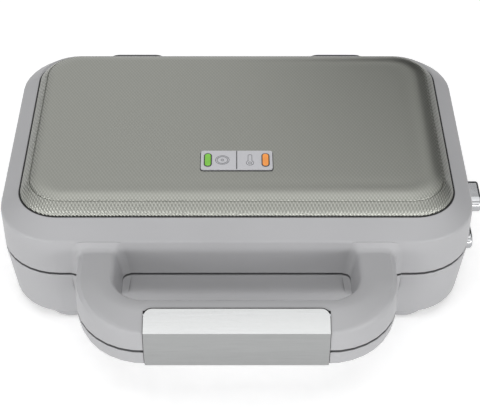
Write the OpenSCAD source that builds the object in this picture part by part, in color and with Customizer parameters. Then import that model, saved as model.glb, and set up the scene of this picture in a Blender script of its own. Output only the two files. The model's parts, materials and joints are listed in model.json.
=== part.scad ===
// Two-slice deep-fill sandwich toaster: a clamshell of two moulded halves on a rear hinge,
// with removable cast cooking plates, a split loop handle and a latch.
// Millimetres. X to the right, Y to the back, Z up from the surface that the feet stand on.

/* [Body] */
// Width of the body without the buttons
body_w = 270; // [260:2:300]
// Depth of the body without handle and hinge
body_d = 178; // [172:2:200]
// Radius of the body's corners in plan
corner_r = 35; // [30:1:42]
// Thickness of the moulded walls
wall = 2.5; // [2:0.1:3]
// Gap between lid and base where they meet
split_gap = 1.6; // [1:0.2:2]

/* [Base] */
// Height of the base housing, without its feet
base_h = 35; // [35:1:45]
// How far the base narrows on each side towards its underside
base_draft = 3.9; // [2:0.1:5]
// Thickness of the underside cover
under_t = 2.5; // [2:0.1:3]
// Height of the feet below the base
foot_h = 5.5; // [4:0.5:8]
// Radius of a moulded foot
foot_r = 16; // [12:0.5:17]
// Distance from the body's side to a foot's centre
foot_in = 38; // [36:0.5:50]
// Radius of the rubber pad under a foot
pad_foot_r = 9; // [6:0.5:11]
// How far a rubber pad stands out of its foot
pad_proud = 1; // [0.8:0.1:1.6]

/* [Lid] */
// Height of the lid's upright wall above the split
lid_wall_h = 25; // [25:1:32]
// Width of the lid's sloping shoulder
shoulder_w = 12; // [10:0.5:14]
// Height of the lid's sloping shoulder
shoulder_h = 8; // [8:0.5:11]

/* [Cover] */
// Gap round the metal cover
cover_gap = 0.8; // [0.5:0.1:1.2]
// Height of the cover's pillow above the gap
cover_rise = 8.5; // [6:0.5:11]
// Width of the rolled edge of the cover
cover_roll = 12; // [8:0.5:14]
// Thickness of the cover's sheet
cover_t = 0.8; // [0.6:0.1:1]
// Depth of the recess that the cover's skirt stands in
cover_seat = 3.2; // [2.5:0.1:4]
// How much wider the shoulder is behind the cover than in front of it
rear_margin = 3.5; // [0:0.5:5]

/* [Handle] */
// Width over the handle's two arms
handle_w = 177; // [165:1:185]
// Width of the finger opening
finger_w = 128; // [116:1:132]
// Depth of the finger opening, from the body to the grip
finger_d = 38; // [34:1:45]
// Radius of the finger opening's corners
finger_r = 16; // [12:1:20]
// Depth of the grip from back to front
grip_d = 21.2; // [19:0.2:24]
// Height of the handle above the split
handle_up = 20; // [18:0.5:22]
// Depth of the handle below the split
handle_down = 12; // [10:0.5:14]

/* [Latch] */
// Width of the metal latch clip on the grip
clip_w = 99; // [80:1:104]
// Thickness of the latch clip
clip_t = 1.5; // [1.2:0.1:1.8]
// Gap round the latch clip
clip_gap = 0.3; // [0.25:0.05:0.5]
// Diameter of the latch pin
clip_pin_d = 2; // [1.6:0.1:2.2]
// Radius of the latch clip's two rear corners
clip_corner = 4.5; // [3:0.5:6]

/* [Indicator panel] */
// Width of the indicator panel
panel_w = 41; // [36:1:50]
// Depth of the indicator panel from front to back
panel_d = 17; // [15:0.5:22]
// Distance of the panel's centre in front of the body's centre
panel_front = 39; // [30:1:46]
// Length of a lamp lens
lens_l = 11; // [8:0.5:12]
// Width of a lamp lens
lens_w = 3.6; // [3:0.2:5]
// Distance from the middle of a lens to the panel's end
lens_in = 4; // [3.5:0.5:6]

/* [Cooking plates] */
// Margin between the body's outline and a cooking plate
plate_margin = 10; // [9:0.5:12]
// Thickness of the cast plates
plate_t = 2.5; // [2:0.1:3]
// Gap between the two closed plates
plate_gap = 0.4; // [0.3:0.1:0.8]
// Width of the plate's rim beside the pockets
rim_w = 10.5; // [10:0.5:16]
// Width of the plate's rim in front of and behind the pockets
rim_d = 16; // [15.5:0.5:22]
// Depth of a sandwich pocket
pocket_depth = 15; // [12:0.5:15.5]
// Radius of a pocket's corners at the rim
pocket_r = 14; // [10:1:20]
// How far a pocket narrows on each side towards its floor
pocket_taper = 4; // [3:0.5:6]
// Width of the bridge between the two pockets
bridge_w = 9; // [8:0.5:12]
// How far the diagonal cutting ridge stays below the rim
ridge_drop = 4; // [3:0.5:6]
// Width of the cutting ridge at its foot
ridge_w = 12; // [9:0.5:16]

/* [Heating] */
// Diameter of the heating element's tube
tube_d = 6.4; // [5:0.2:6.6]
// Width of the element's loop between tube centres
loop_w = 176; // [160:2:190]
// Depth of the element's loop between tube centres
loop_d = 84; // [70:2:96]
// Distance between the element's two cold ends
cold_span = 76; // [64:2:96]
// Thickness of the pressed tray
tray_t = 0.8; // [0.6:0.1:1]

/* [Release buttons] */
// Length of a release button
button_l = 22; // [18:0.5:24]
// Height of a release button
button_h = 10.3; // [9:0.1:10.6]
// How far the upper button stands out of the body
upper_button_out = 7.7; // [5:0.1:9]
// How far the lower button stands out past the body's widest line
lower_button_out = 5; // [4.5:0.1:7]
// Travel of a release button
button_travel = 3; // [2.5:0.1:3]
// Height of the upper button's centre above the split
upper_button_z = 12.5; // [12.5:0.1:13.5]
// Depth of the lower button's centre below the split
lower_button_z = 13.2; // [13:0.1:17]
// Distance of the upper button in front of the body's centre
upper_button_front = 36; // [28:1:44]
// Distance of the lower button in front of the body's centre
lower_button_front = 40; // [28:1:46]

/* [Hinge] */
// Distance of the hinge axis behind the body
axis_back = 12; // [11:0.5:14]
// Distance of each hinge from the body's centre line
hinge_x = 66.5; // [55:0.5:75]
// Width of a hinge arm
arm_w = 35.5; // [30:0.5:40]
// Radius of a hinge arm's back round the pin
arm_r = 15; // [13:0.5:16]
// Width of the knuckle between the ears
knuckle_w = 14; // [10:1:16]
// Diameter of the hinge pins
pin_d = 5; // [4:0.5:6]
// Radius of the hinge knuckle
knuckle_r = 8; // [6:0.5:8]
// How far a hinge arm reaches behind the body
arm_back = 21; // [20:0.5:24]

/* [Cord inlet] */
// Diameter of the bore for the mains cord
cord_d = 7; // [6:0.1:8]
// Diameter of the rubber gland inside the wall
gland_d = 12; // [11:0.5:14]

/* [Hidden] */
$fn = 64;

GREY = [0.66, 0.66, 0.65];
CHARCOAL = [0.20, 0.20, 0.21];
STEEL = [0.74, 0.75, 0.76];
CHROME = [0.85, 0.86, 0.88];
CAST = [0.24, 0.24, 0.25];
ZINC = [0.70, 0.71, 0.72];
RUBBER = [0.10, 0.10, 0.10];
CERAMIC = [0.92, 0.90, 0.86];

// Heights above the surface, and half sizes
split_z = foot_h + base_h;
half_gap = split_gap / 2;
lid_top = lid_wall_h + shoulder_h;
front_y = -body_d / 2;
rear_y = body_d / 2;
trim_proud = 0.4;
running = 0.05;
lip = 0.5;

// The base's wall leans inwards from its lip to its underside
function base_inset(z) = base_draft * (z - half_gap - lip) / (base_h - half_gap - lip);
function wall_y(z) = rear_y - base_inset(z);

// The body's box, which centres the part over its own footprint
x_mid = upper_button_out / 2;
y_mid = (rear_y + arm_back + front_y - finger_d - grip_d - trim_proud) / 2;

// Cover, seen in plan
cover_w = body_w - 2 * shoulder_w;
cover_d = body_d - 2 * shoulder_w - rear_margin;
cover_y = -rear_margin / 2;
cover_r = corner_r - shoulder_w;
ledge_w = 5;
ledge_t = 2.5;

// Cooking plate, measured away from the split
plate_w = body_w - 2 * plate_margin;
plate_d = body_d - 2 * plate_margin;
plate_r = max(corner_r - plate_margin, 4) + 2;
pocket_w = (plate_w - bridge_w) / 2 - rim_w;
pocket_l = plate_d - 2 * rim_d;
plate_face = plate_gap / 2;
plate_back = plate_face + plate_t;
pocket_x = (bridge_w + pocket_w) / 2;
pocket_floor = plate_face + pocket_depth;
pocket_back = pocket_floor + plate_t;
shell_edge = pocket_x + pocket_w / 2 + plate_t;

// Pressed tray behind the plate
pad_h = 2.2;
pad_r = 4;
flange_z = plate_back + pad_h;
tray_in_x = shell_edge + 1.2;
tray_in_y = pocket_l / 2 + plate_t + 1.2;
tray_r = 22;
seat_gap = 0.3;
tube_z = pocket_back + seat_gap + tube_d / 2;
tray_floor = tube_z + tube_d / 2 + 1;
tray_back = tray_floor + tray_t;
tray_out_x = tray_in_x + tray_t;
tray_out_y = tray_in_y + tray_t;
flange_margin = wall + 1;

// Bosses in the four corners take the screws of tray and underside
boss_r = 4;
boss_rib = 2;
boss_back = corner_r - (corner_r - base_draft - wall - boss_r + 0.4) * cos(45);
boss_x = body_w / 2 - boss_back;
boss_y = body_d / 2 - boss_back;
screw_r = 1.4;
head_r = 3.2;
head_h = 1.8;

// Moulded feet: hollow pods under the corners, with a snapped-in rubber pad each
foot_x = body_w / 2 - foot_in;
foot_y = body_d / 2 - base_draft - foot_r - 1.1;
foot_root = 6;
foot_floor = 2;
foot_edge = 2;
foot_end = base_h + foot_h - pad_proud;
pad_stem_r = 2.4;

// Release catch
lug_t = 1.8;
lug_w = 9;
lug_x = tray_out_x + 2.7;
tooth = 1.6;
bar_t = 1.5;
bar_z = flange_z + tray_t + 2.8;
bar_w = 20;
bar_edge = 2.5;
catch_play = 0.3;
lug_end = bar_z + bar_t + catch_play + 1.9;
window_x0 = lug_x - catch_play;
window_x1 = lug_x + lug_t + button_travel + 0.4;
bar_x0 = window_x0 - bar_edge;
flange_t = 1.5;
flange_gap = 1.2;
rim_l = 2;
rim_h = 1.2;
riser_t = 1.3;
spring_r = 2.5;
wire_r = 0.4;
spring_z = lug_end + 0.5 + spring_r + wire_r;
upper_wall_x = body_w / 2;
lower_wall_x = body_w / 2 - base_inset(lower_button_z);

// Cord gland in the base's rear wall
gland_z = 15;
gland_y = wall_y(base_h - gland_z);

// Hinge
axis_y = rear_y + axis_back;
ear_r = knuckle_r + 0.4;
ear_gap = 0.3;
ear_w = (arm_w - knuckle_w) / 2 - ear_gap - 1;
arm_z0 = ear_r + 0.6;
arm_z1 = arm_r + 5;
arm_screw_z = arm_z0 + 4.2;
bracket_t = 2.5;
bracket_z0 = 2;
bracket_z1 = 20;

// Latch pin, seen from the finger opening's front edge (u) and from the split (z)
grip_top_u = 7.4;
grip_top_z = handle_up - 0.8;
crease_u = grip_d - 0.8;
crease_z = handle_up - 7;
toe_u = grip_d - 1.2;
barrel_r = clip_pin_d / 2 + 0.7;
clip_u0 = grip_top_u + 0.95;
clip_fall = (grip_top_z - crease_z) / (crease_u + trim_proud - clip_u0);
function clip_top(u) = grip_top_z + trim_proud - clip_fall * (u - clip_u0);
clip_pin_u = clip_u0 + barrel_r;
clip_pin_z = clip_top(clip_pin_u) - (barrel_r + 0.5) * sqrt(1 + clip_fall * clip_fall);
grip_y0 = front_y - finger_d;
spring_gap = 16;
coil_wire = 0.25;
coil_r = clip_pin_d / 2 + coil_wire + 0.05;

// Indicator panel
panel_y = -panel_front;
cover_top = lid_top + cover_rise;
panel_edge = 2.2;
panel_up = 0.9;
panel_down = 4;
board_z = cover_top - 11;
board_t = 1.2;
lens_span = panel_w - 2 * lens_in;
leg_w = 2;
leg_d = panel_d - 9;
leg_x = lens_span / 2 - 7.5;
board_w = lens_span + lens_l;
board_d = panel_d - 3;

// Rows that repeat
corners = [[1, 1], [-1, 1], [-1, -1], [1, -1]];

// Frames: the part's own origin, the lid half (z counted up from the split) and the base half
// (z counted down from the split)
module row() translate([-x_mid, -y_mid, 0]) children();
module in_lid() row() translate([0, 0, split_z]) children();
module in_base() row() translate([0, 0, split_z]) mirror([0, 0, 1]) children();

// Points of a rounded rectangle from x0 to x1 and y0 to y1, anticlockwise
function arc(cx, cy, r, a0, n) = [for (i = [0:n]) let (a = a0 + 90 * i / n) [cx + r * cos(a), cy + r * sin(a)]];
function rounded(x0, x1, y0, y1, r, n = 9) = concat(
    arc(x1 - r, y1 - r, r, 0, n), arc(x0 + r, y1 - r, r, 90, n),
    arc(x0 + r, y0 + r, r, 180, n), arc(x1 - r, y0 + r, r, 270, n));
function centred(w, d, r, n = 9) = rounded(-w / 2, w / 2, -d / 2, d / 2, max(r, 0.5), n);
function at_z(points, z) = [for (p = points) [p[0], p[1], z]];

// A closed skin over rings that have the same number of points, each anticlockwise when seen
// from the last ring
module skin(rings) {
    m = len(rings[0]);
    k = len(rings);
    polyhedron(
        points = [for (r = rings) for (p = r) p],
        faces = concat(
            [[for (i = [0:m - 1]) i]],
            [[for (i = [0:m - 1]) (k - 1) * m + m - 1 - i]],
            [for (j = [0:k - 2]) for (i = [0:m - 1]) let (a = j * m + i, b = j * m + (i + 1) % m)
                [a, a + m, b + m]],
            [for (j = [0:k - 2]) for (i = [0:m - 1]) let (a = j * m + i, b = j * m + (i + 1) % m)
                [a, b + m, b]]),
        convexity = 8);
}

// A moulded body: each ring is [z, inset from the body's outline]
module moulded(rings, n = 9)
    skin([for (s = rings) at_z(centred(body_w - 2 * s[1], body_d - 2 * s[1], corner_r - s[1], n), s[0])]);

// A flat rounded plate with exact edges
module slab(w, d, r, t) linear_extrude(t) {
    square([w - 2 * r, d], center = true);
    square([w, d - 2 * r], center = true);
    for (c = corners) translate([c[0] * (w / 2 - r), c[1] * (d / 2 - r)]) circle(r);
}

// A stadium prism along +X, centred in Y and Z
module stadium_x(l, h, t) rotate([90, 0, 90]) linear_extrude(t) {
    square([l - h, h], center = true);
    for (s = [-1, 1]) translate([s * (l - h) / 2, 0]) circle(h / 2);
}

// A stadium prism along +Z, long in Y
module stadium_z(l, w, t) linear_extrude(t) {
    square([w, l - w], center = true);
    for (s = [-1, 1]) translate([0, s * (l - w) / 2]) circle(w / 2);
}

module along_x(x0, x1, r) translate([x0, 0, 0]) rotate([0, 90, 0]) cylinder(r = r, h = x1 - x0);
module along_y(y0, y1, r) translate([0, y1, 0]) rotate([90, 0, 0]) cylinder(r = r, h = y1 - y0);

// A tube through hand-picked points, with flat ends
function unit(v) = v / norm(v);
function heading(p, i) = unit(p[min(i + 1, len(p) - 1)] - p[max(i - 1, 0)]);
function across(t) = unit(cross(t, abs(t[2]) > 0.9 ? [1, 0, 0] : [0, 0, 1]));
function tube_ring(c, t, r, n) = let (a = across(t), b = cross(t, a))
    [for (i = [0:n - 1]) c + r * (cos(360 * i / n) * a + sin(360 * i / n) * b)];
module tube(p, r, n = 8) skin([for (i = [0:len(p) - 1]) tube_ring(p[i], heading(p, i), r, n)]);

// A coil spring along +X from x0 to x1
module coil_x(x0, x1, r, wire, turns, steps = 14) {
    run = x1 - x0 - 2 * wire;
    tube([for (i = [0:turns * steps]) let (a = 360 * i / steps)
        [x0 + wire + run * i / (turns * steps), r * cos(a), r * sin(a)]], wire, 6);
}

// Screw with a pan head: the head stands on z = 0 and the shank points down
module screw(l) {
    cylinder(r = head_r, h = head_h);
    translate([0, 0, -l]) cylinder(r = screw_r, h = l);
}

// Corner points with a cut-back, rounded by a short curve
function blend_corner(a, b, c, cut, n) = let (p = b + cut * unit(a - b), q = b + cut * unit(c - b))
    [for (i = [0:n]) let (t = i / n) (1 - t) * (1 - t) * p + 2 * t * (1 - t) * b + t * t * q];
function soften(v, n = 3) = let (m = len(v)) [for (i = [0:m - 1])
    each blend_corner(xy(v[(i + m - 1) % m]), xy(v[i]), xy(v[(i + 1) % m]), v[i][2], n)];
function xy(v) = [v[0], v[1]];
function mix(a, b, t) = [for (i = [0:len(a) - 1]) a[i] * (1 - t) + b[i] * t];

// Sections of the loop handle as [outward, up, cut-back]: t runs from the arm to the grip, and
// flare widens the root into the body
arm_u = (handle_w - finger_w) / 2;
upper_arm = [[0, half_gap, 0.4], [arm_u, half_gap, 0.4], [arm_u - 0.3, handle_up, 7.5],
    [arm_u / 2, handle_up, 1], [3.5, handle_up, 3.5]];
upper_grip = [[0, half_gap, 0.4], [grip_d, half_gap, 0.4], [crease_u, crease_z, 1.2],
    [grip_top_u, grip_top_z, 2.2], [1, handle_up, 3]];
lower_arm = [[3, -handle_down, 4], [arm_u - 1, -handle_down, 6], [arm_u, -half_gap, 0.4],
    [0, -half_gap, 0.4]];
lower_grip = [[2, -handle_down, 4], [toe_u, -handle_down, 3], [grip_d, -half_gap, 0.4],
    [0, -half_gap, 0.4]];
function spread(v, f, up) = [for (p = v) [
    p[0] + f * (p[0] > arm_u / 2 + 1 ? 1 : p[0] < arm_u / 2 - 1 ? -1 : 0),
    p[1] + f * up * (abs(p[1]) > half_gap + 1 ? 1 : 0), p[2]]];
root_r = 4.5;
root_in = wall - 0.3;
root_steps = 5;
function flare(s) = s < 0 ? root_r : root_r - sqrt(max(root_r * root_r - pow(root_r - s, 2), 0));
handle_path = concat(
    [for (i = [-1:root_steps]) let (s = i < 0 ? -root_in : root_r * i / root_steps)
        [finger_w / 2, front_y - s, 0, 0, flare(s)]],
    [for (i = [0:8]) [finger_w / 2 - finger_r + finger_r * cos(90 * i / 8),
        front_y - finger_d + finger_r - finger_r * sin(90 * i / 8), 90 * i / 8, i / 8, 0]]);
function handle_ring(s, arm, grip, up, side) = [for (p = soften([for (k = [0:len(arm) - 1])
    spread([mix(arm[k], grip[k], s[3])], s[4], up)[0]]))
    [side * (s[0] + p[0] * cos(s[2])), s[1] - p[0] * sin(s[2]), p[1]]];
module half_handle(arm, grip, up) skin(concat(
    [for (s = handle_path) handle_ring(s, arm, grip, up, 1)],
    [for (i = [len(handle_path) - 1:-1:0]) handle_ring(handle_path[i], arm, grip, up, -1)]));

// Recess for the latch clip across both halves of the grip, and the groove for its barrel
clip_line = [[clip_u0, grip_top_z + trim_proud], [crease_u + trim_proud, crease_z + trim_proud],
    [grip_d + trim_proud, 0], [toe_u + trim_proud, -handle_down + 0.5]];
clip_back = [[toe_u + trim_proud - clip_t, -handle_down + 0.5], [grip_d + trim_proud - clip_t, 0],
    [crease_u + trim_proud - clip_t, crease_z + trim_proud - clip_t],
    [clip_u0, grip_top_z + trim_proud - clip_t]];
module in_grip(x) translate([-x / 2, grip_y0, 0]) rotate([90, 0, 90]) linear_extrude(x) children();
// The clip's outline from above, grown by g, with its two rounded corners at the rear
module clip_plan(g) translate([0, 0, -handle_down - 4]) linear_extrude(handle_up + handle_down + 8)
    polygon(concat(
        [for (s = [1, -1]) for (i = [0:6]) let (a = s > 0 ? 15 * i : 90 + 15 * i)
            [s * (clip_w / 2 - clip_corner) + (clip_corner + g) * cos(a),
                grip_y0 - clip_u0 - clip_corner + (clip_corner + g) * sin(a)]],
        [for (s = [-1, 1]) [s * (clip_w / 2 + g), grip_y0 - grip_d - 6]]));
module clip_recess() intersection() {
    in_grip(clip_w + 4) mirror([1, 0]) polygon([
        [clip_u0 - 1, grip_top_z + 4], [clip_u0 - 1, grip_top_z + trim_proud - clip_t - clip_gap],
        [crease_u + trim_proud - clip_t - clip_gap, crease_z + trim_proud - clip_t - clip_gap],
        [grip_d + trim_proud - clip_t - clip_gap, 0],
        [toe_u + trim_proud - clip_t - clip_gap, -handle_down - 3],
        [grip_d + 5, -handle_down - 3], [grip_d + 5, grip_top_z + 4]]);
    clip_plan(clip_gap);
}
// Pocket round the pin, as wide as the clip's rear edge and corners swing, and the bore for the pin
function swing(a) = let (u = clip_u0 + clip_corner * (1 - sin(a)))
    norm([u - clip_pin_u, clip_top(u) - clip_pin_z]) + clip_gap;
function swing_x(a) = clip_w / 2 - clip_corner * (1 - cos(a));
module at_latch() translate([0, grip_y0 - clip_pin_u, clip_pin_z]) children();
module pivot_pocket() at_latch() {
    rotate([0, 90, 0]) rotate_extrude() polygon(concat(
        [[0, -clip_w / 2 - clip_gap], [swing(30), -clip_w / 2 - clip_gap]],
        [for (a = [30:15:90]) [swing(a), -swing_x(a)]], [for (a = [90:-15:30]) [swing(a), swing_x(a)]],
        [[swing(30), clip_w / 2 + clip_gap], [0, clip_w / 2 + clip_gap]]));
    along_x(-clip_w / 2 - 5, clip_w / 2 + 5, clip_pin_d / 2 + 0.01);
}

// Base

module at_bosses() for (c = corners) translate([c[0] * boss_x, c[1] * boss_y, 0]) children();

// Feet: the solid pod, its hollow, and the seat of the pad
module at_feet() for (x = [-1, 1]) for (y = [-1, 1]) translate([x * foot_x, y * foot_y, 0]) children();
module foot_pod() rotate_extrude() polygon(concat(
    [[0, base_h - foot_root], [foot_r + 0.3, base_h - foot_root]],
    [for (i = [0:6]) [foot_r - foot_edge + foot_edge * cos(15 * i), foot_end - foot_edge + foot_edge * sin(15 * i)]],
    [[0, foot_end]]));
module foot_hollow() {
    translate([0, 0, base_h - foot_root - 1])
        cylinder(r = foot_r - wall, h = foot_end - pad_proud - foot_floor - base_h + foot_root + 1);
    cylinder(r = pad_stem_r + running, h = foot_end + 1);
    translate([0, 0, foot_end - pad_proud]) cylinder(r = pad_foot_r + 0.1, h = 5);
}

// A screw boss in each corner, from z0 to z1, joined to the wall by a rib
module bosses(z0, z1) for (c = corners) translate([c[0] * boss_x, c[1] * boss_y, z0]) {
    cylinder(r = boss_r, h = z1 - z0);
    rotate([0, 0, atan2(c[1], c[0])]) translate([boss_r - 1, -boss_rib / 2, 0])
        cube([boss_r + wall + 3, boss_rib, z1 - z0]);
}

module base_housing() color(GREY) in_base() difference() {
    union() {
        moulded([[half_gap, 0.3], [half_gap + lip, 0], [base_h - 2, base_inset(base_h - 2)],
            [base_h - 0.7, base_draft + 0.45], [base_h, base_draft + 1.3]]);
        mirror([0, 0, 1]) half_handle(lower_arm, lower_grip, -1);
        at_feet() foot_pod();
    }
    difference() {
        moulded([[0, wall], [half_gap + lip, wall], [base_h + 1, base_inset(base_h + 1) + wall]]);
        bosses(flange_z + tray_t, base_h - under_t - 0.5);
        at_feet() foot_pod();
        for (s = [-1, 1]) translate([-body_w / 2, s * 45 - 7, half_gap])
            cube([wall + 5.5, 14, 0.8]);
    }
    at_feet() foot_hollow();
    at_bosses() cylinder(r = screw_r + running, h = base_h + 1);
    translate([lower_wall_x - 12, -lower_button_front, lower_button_z])
        stadium_x(button_l + 0.6, button_h + 0.6, 24);
    translate([0, 0, base_h - gland_z]) along_y(rear_y - 9, rear_y + 5, gland_d / 2);
    for (s = [-1, 1]) for (t = [-1, 1]) translate([s * hinge_x + t * 11.5, 0, bracket_z1 - 6])
        along_y(rear_y - 9, rear_y + 5, screw_r + running);
    mirror([0, 0, 1]) clip_recess();
}

module base_underside() color(CHARCOAL) in_base() difference() {
    translate([0, 0, base_h - under_t - 0.5])
        slab(body_w - 2 * (base_draft + wall + 0.4), body_d - 2 * (base_draft + wall + 0.4),
            corner_r - base_draft - wall - 0.4, under_t);
    at_bosses() translate([0, 0, base_h - under_t - 1]) cylinder(r = screw_r + 0.2, h = 5);
    at_bosses() translate([0, 0, base_h - 2.2]) cylinder(r = head_r + 0.3, h = 5);
    at_feet() translate([0, 0, base_h - 8]) cylinder(r = foot_r + 0.4, h = 10);
    for (s = [-1, 1]) for (i = [-3:3]) translate([s * 48 + i * 8, 0, base_h - 5]) stadium_z(46, 3, 6);
}

module foot(x, y) color(RUBBER) in_base() translate([x * foot_x, y * foot_y, 0]) {
    translate([0, 0, foot_end - pad_proud]) cylinder(r = pad_foot_r, h = 2 * pad_proud - 0.3);
    translate([0, 0, foot_end + pad_proud - 0.3]) cylinder(r1 = pad_foot_r, r2 = pad_foot_r - 0.4, h = 0.3);
    translate([0, 0, foot_end - pad_proud - foot_floor - 0.2]) cylinder(r = pad_stem_r, h = foot_floor + 0.4);
    translate([0, 0, foot_end - pad_proud - foot_floor - 1.8])
        cylinder(r1 = pad_stem_r - 0.6, r2 = pad_stem_r + 0.7, h = 1.6);
}
module foot_front_left() foot(-1, -1);
module foot_front_right() foot(1, -1);
module foot_rear_left() foot(-1, 1);
module foot_rear_right() foot(1, 1);

module underside_screws() color(ZINC) in_base() at_bosses()
    translate([0, 0, base_h - 2.2]) screw(9);

// Cooking plate with two pockets, a diagonal cutting ridge in each, seats and catch lug
module pocket(inset, floor_z, n) skin([
    at_z(centred(pocket_w + 2 * inset, pocket_l + 2 * inset, pocket_r + inset, n), plate_face - 1 + inset * 0.4),
    at_z(centred(pocket_w + 2 * inset, pocket_l + 2 * inset, pocket_r + inset, n), plate_face + inset * 0.4),
    at_z(centred(pocket_w + 2 * inset - 2 * pocket_taper * 0.9, pocket_l + 2 * inset - 2 * pocket_taper * 0.9,
        pocket_r + inset - pocket_taper * 0.6, n), floor_z - 2.2),
    at_z(centred(pocket_w + 2 * inset - 2 * pocket_taper - 1.6, pocket_l + 2 * inset - 2 * pocket_taper - 1.6,
        pocket_r + inset - pocket_taper * 0.7, n), floor_z - 0.6),
    at_z(centred(pocket_w + 2 * inset - 2 * pocket_taper - 5, pocket_l + 2 * inset - 2 * pocket_taper - 5,
        pocket_r + inset - pocket_taper, n), floor_z)]);

module ridge(s) {
    lift = pocket_depth - ridge_drop;
    len = norm([pocket_w, pocket_l]);
    intersection() {
        rotate([0, 0, s * atan2(pocket_l, pocket_w)]) translate([-len / 2, 0, pocket_floor])
            rotate([90, 0, 90]) linear_extrude(len) polygon([[-ridge_w / 2, 0.5], [ridge_w / 2, 0.5],
                [1.2, -lift + 0.6], [0.5, -lift], [-0.5, -lift], [-1.2, -lift + 0.6]]);
        pocket(0.6, pocket_floor + 0.6, 6);
    }
}

module cooking_plate(button_front) difference() {
    union() {
        difference() {
            union() {
                translate([0, 0, plate_face]) slab(plate_w, plate_d, plate_r, plate_t);
                for (s = [-1, 1]) translate([s * pocket_x, 0, 0]) pocket(plate_t, pocket_back, 7);
            }
            for (s = [-1, 1]) translate([s * pocket_x, 0, 0]) pocket(0, pocket_floor, 7);
            translate([0, 0, -5]) slab(plate_w + 9, plate_d + 9, plate_r, 5 + plate_face);
        }
        for (s = [-1, 1]) translate([s * pocket_x, 0, 0]) ridge(s);
        for (c = corners) translate([c[0] * (plate_w / 2 - 9), c[1] * (plate_d / 2 - 22), plate_back - 0.5])
            cylinder(r = pad_r, h = pad_h + 0.5);
        for (s = [-1, 1]) translate([-plate_w / 2 - 3, s * 45 - 6, plate_back - 0.8]) cube([6, 12, 1.3]);
        translate([lug_x, -button_front - lug_w / 2, plate_back - 0.5])
            cube([lug_t, lug_w, lug_end - plate_back + 0.5]);
        translate([lug_x - tooth, -button_front - lug_w / 2, lug_end - 1.9]) cube([tooth + 0.5, lug_w, 1.9]);
    }
    for (s = [-1, 1]) translate([s * (plate_w / 2 + 7), 0, -1]) cylinder(r = 12, h = plate_back + 2);
}

module tray(button_front) difference() {
    union() {
        translate([0, 0, flange_z]) slab(body_w - 2 * flange_margin, body_d - 2 * flange_margin,
            corner_r - flange_margin, tray_t);
        translate([0, 0, flange_z]) slab(2 * tray_out_x, 2 * tray_out_y, tray_r + tray_t, tray_back - flange_z);
    }
    translate([0, 0, flange_z - 1]) slab(2 * tray_in_x, 2 * tray_in_y, tray_r, tray_floor - flange_z + 1);
    at_bosses() translate([0, 0, flange_z - 1]) cylinder(r = screw_r + 0.2, h = 3);
    translate([lug_x - tooth - 0.7, -button_front - lug_w / 2 - 1, flange_z - 1])
        cube([tooth + lug_t + 1.4, lug_w + 2, 3]);
    translate([tray_in_x - 3, -button_front - bar_w / 2 - 1, bar_z - 0.6]) cube([6, bar_w + 2, bar_t + 1.2]);
    for (s = [-1, 1]) translate([s * cold_span / 2, 0, tube_z])
        along_y(tray_in_y - 2, tray_out_y + 2, tube_d / 2 + 0.3);
    for (s = [-1, 1]) for (i = [-2:2]) translate([s * pocket_x + i * 14, 0, tray_floor - 1])
        stadium_z(24, 3, tray_t + 2);
}

// Tubular element: a loop under both pockets whose cold ends leave through the tray's rear wall
loop_r = 18;
cold_r = 12;
module bend(x, y, a) translate([x, y, 0]) rotate([0, 0, a]) rotate_extrude(angle = 90)
    translate([loop_r, 0]) circle(tube_d / 2, $fn = 32);
module bend_out(x, y, a) translate([x, y, 0]) rotate([0, 0, a]) rotate_extrude(angle = 90)
    translate([cold_r, 0]) circle(tube_d / 2, $fn = 32);
module heating_element() translate([0, 0, tube_z]) {
    translate([0, -loop_d / 2, 0]) along_x(-loop_w / 2 + loop_r, loop_w / 2 - loop_r, tube_d / 2);
    bend(loop_w / 2 - loop_r, -loop_d / 2 + loop_r, 270);
    bend(-loop_w / 2 + loop_r, -loop_d / 2 + loop_r, 180);
    bend(loop_w / 2 - loop_r, loop_d / 2 - loop_r, 0);
    bend(-loop_w / 2 + loop_r, loop_d / 2 - loop_r, 90);
    for (s = [-1, 1]) {
        translate([s * loop_w / 2, 0, 0]) along_y(-loop_d / 2 + loop_r, loop_d / 2 - loop_r, tube_d / 2);
        translate([s * cold_span / 2, 0, 0]) along_y(loop_d / 2 + cold_r, tray_out_y + 7, tube_d / 2);
        translate([s * cold_span / 2, 0, 0]) along_y(tray_out_y + 7, tray_out_y + 12, 1.6);
    }
    translate([0, loop_d / 2, 0]) {
        along_x(cold_span / 2 + cold_r, loop_w / 2 - loop_r, tube_d / 2);
        along_x(-loop_w / 2 + loop_r, -cold_span / 2 - cold_r, tube_d / 2);
    }
    bend_out(cold_span / 2 + cold_r, loop_d / 2 + cold_r, 180);
    bend_out(-cold_span / 2 - cold_r, loop_d / 2 + cold_r, 270);
}

// Clips that hold the element on the tray's floor
module element_clips() for (p = [[-55, -1], [0, -1], [55, -1], [-62, 1], [62, 1]])
    translate([p[0], p[1] * loop_d / 2, 0]) difference() {
        translate([-4, -tube_d / 2 - 4, tube_z - tube_d / 2 - 0.2])
            cube([8, tube_d + 8, tray_floor - tube_z + tube_d / 2 + 0.2]);
        translate([0, 0, tube_z]) along_x(-5, 5, tube_d / 2 + 0.02);
        for (s = [-1, 1]) translate([-5, s * (tube_d / 2 + 3.2) - 2.2, tube_z - tube_d]) cube([10, 4.4, tube_d * 1.9]);
        translate([-5, -tube_d / 2 + 0.6, tube_z]) cube([10, tube_d - 1.2, tube_d]);
    }

module tray_screws() at_bosses() translate([0, 0, flange_z]) mirror([0, 0, 1]) screw(10);

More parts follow.
